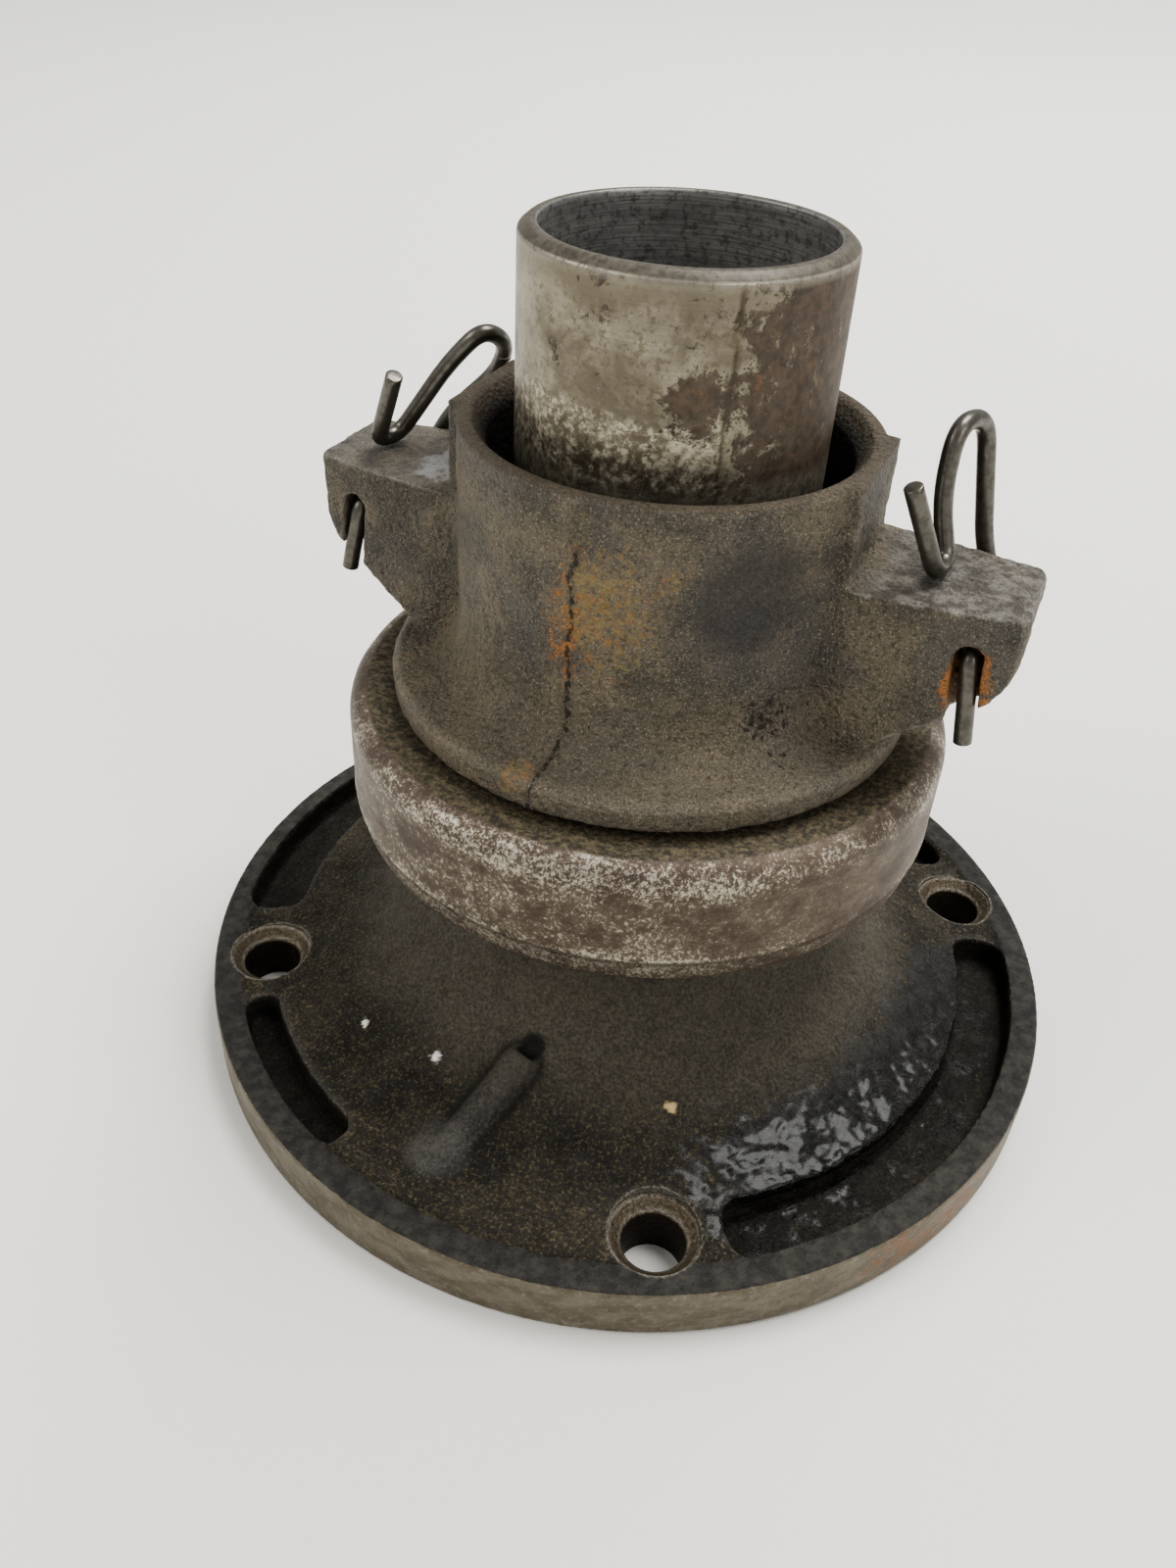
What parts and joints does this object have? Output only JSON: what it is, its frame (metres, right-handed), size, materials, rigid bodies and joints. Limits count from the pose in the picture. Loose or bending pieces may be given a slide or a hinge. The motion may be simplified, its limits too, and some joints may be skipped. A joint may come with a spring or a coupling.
{
  "type": "clutch release bearing on gearbox bearing retainer",
  "caption": "Clutch release bearing and forked hub with wire spring clips, sliding on the guide tube of a flanged gearbox input-shaft bearing retainer.",
  "frame": {"origin": "centre of the retainer flange's gearbox face, on the shaft axis", "axes": "+Z along the shaft axis towards the guide tube's open end, +X through the middle of one fork ear"},
  "size_m": [0.15, 0.15, 0.1338],
  "materials": {
    "oily_cast_iron": "as-cast, soaked in dark gear oil, machined rim",
    "worn_tube_steel": "worn bright with mottled brown rust",
    "sand_cast_iron": "sandy as-cast, brown rust patches, machined rim",
    "stamped_steel": "brown-grey with silvery wear on its edges",
    "bearing_steel": "ground",
    "spring_steel": "dark drawn wire",
    "zinc_steel": "dull pressed steel",
    "black_rubber": "matte nitrile",
    "cage_polymer": "moulded"
  },
  "bodies": {
    "retainer": {"retainer_casting": "oily_cast_iron", "guide_tube": "worn_tube_steel", "seal_case": "zinc_steel", "seal_lip": "black_rubber", "seal_garter_spring": "spring_steel"},
    "hub": {"release_hub": "sand_cast_iron", "bearing_inner_race": "bearing_steel"},
    "thrust_rotor": {"bearing_thrust_ring": "bearing_steel", "bearing_shell": "stamped_steel", "bearing_grease_seal": "black_rubber"},
    "ball_set": {"ball_cage": "cage_polymer", "bearing_ball_01": "bearing_steel", "bearing_ball_02": "bearing_steel", "bearing_ball_03": "bearing_steel", "bearing_ball_04": "bearing_steel", "bearing_ball_05": "bearing_steel", "bearing_ball_06": "bearing_steel", "bearing_ball_07": "bearing_steel", "bearing_ball_08": "bearing_steel", "bearing_ball_09": "bearing_steel", "bearing_ball_10": "bearing_steel", "bearing_ball_11": "bearing_steel", "bearing_ball_12": "bearing_steel", "bearing_ball_13": "bearing_steel", "bearing_ball_14": "bearing_steel", "bearing_ball_15": "bearing_steel", "bearing_ball_16": "bearing_steel"},
    "clip_right": {"spring_clip_right": "spring_steel"},
    "clip_left": {"spring_clip_left": "spring_steel"}
  },
  "joints": [
    {"name": "hub_slide", "type": "slide", "parent": "retainer", "child": "hub", "axis": [0, 0, 1], "range_m": [0, 0.025]},
    {"name": "bearing_spin", "type": "hinge", "parent": "hub", "child": "thrust_rotor", "pos_m": [0, 0, 0.0552], "axis": [0, 0, 1], "continuous": true},
    {"name": "cage_spin", "type": "hinge", "parent": "hub", "child": "ball_set", "pos_m": [0, 0, 0.0552], "axis": [0, 0, 1], "continuous": true},
    {"name": "clip_right_swing", "type": "hinge", "parent": "hub", "child": "clip_right", "pos_m": [0.0479, 0, 0.0875], "axis": [0, 1, 0], "range_deg": [0, 4]},
    {"name": "clip_left_swing", "type": "hinge", "parent": "hub", "child": "clip_left", "pos_m": [-0.0479, 0, 0.0875], "axis": [0, -1, 0], "range_deg": [0, 4]}
  ],
  "couplings": [
    {"joint": "cage_spin", "follows": "bearing_spin", "ratio": 0.543}
  ]
}
